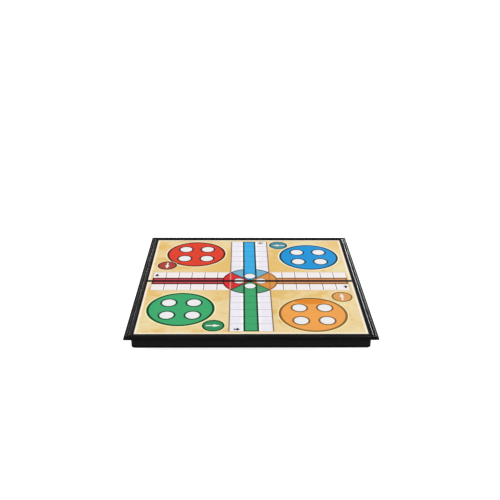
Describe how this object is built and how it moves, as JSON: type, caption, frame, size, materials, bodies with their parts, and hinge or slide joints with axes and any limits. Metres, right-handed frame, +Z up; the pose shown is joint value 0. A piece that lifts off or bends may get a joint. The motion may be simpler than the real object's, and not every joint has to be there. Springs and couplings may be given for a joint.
{
  "type": "folding board game box",
  "caption": "Flat black game case whose two hinged trays open into one square race-game board with ribbed rails.",
  "frame": {"origin": "centre of the open board's footprint, on the surface it stands on, under the fold line", "axes": "+X along the fold to the right, +Y from the near half to the far half, +Z up through the playing face"},
  "size_m": [0.25, 0.25, 0.015],
  "materials": {
    "black_shell": "fine textured black moulded plastic, satin on the ribs",
    "printed_film": "printed playing face under a satin clear film",
    "steel_plate": "tinned sheet steel",
    "hinge_link": "black moulded plastic",
    "hinge_pin": "bright drawn steel",
    "magnet": "bright nickel plating"
  },
  "bodies": {
    "far_half": {"far_shell": "black_shell", "far_play_sheet": "printed_film", "far_steel_plate": "steel_plate", "far_hinge_pin_left": "hinge_pin", "far_hinge_pin_right": "hinge_pin", "far_magnet_left": "magnet", "far_magnet_right": "magnet"},
    "hinge_links": {"hinge_link_left": "hinge_link", "hinge_link_right": "hinge_link"},
    "near_half": {"near_shell": "black_shell", "near_play_sheet": "printed_film", "near_steel_plate": "steel_plate", "near_hinge_pin_left": "hinge_pin", "near_hinge_pin_right": "hinge_pin", "near_magnet_left": "magnet", "near_magnet_right": "magnet"}
  },
  "joints": [
    {"name": "fold", "type": "hinge", "parent": "far_half", "child": "hinge_links", "pos_m": [0, 0.003, 0.00285], "axis": [1, 0, 0], "range_deg": [0, 90]},
    {"name": "near_fold", "type": "hinge", "parent": "hinge_links", "child": "near_half", "pos_m": [0, -0.003, 0.00285], "axis": [1, 0, 0], "range_deg": [0, 90]}
  ],
  "couplings": [
    {"joint": "near_fold", "follows": "fold", "ratio": 1}
  ]
}
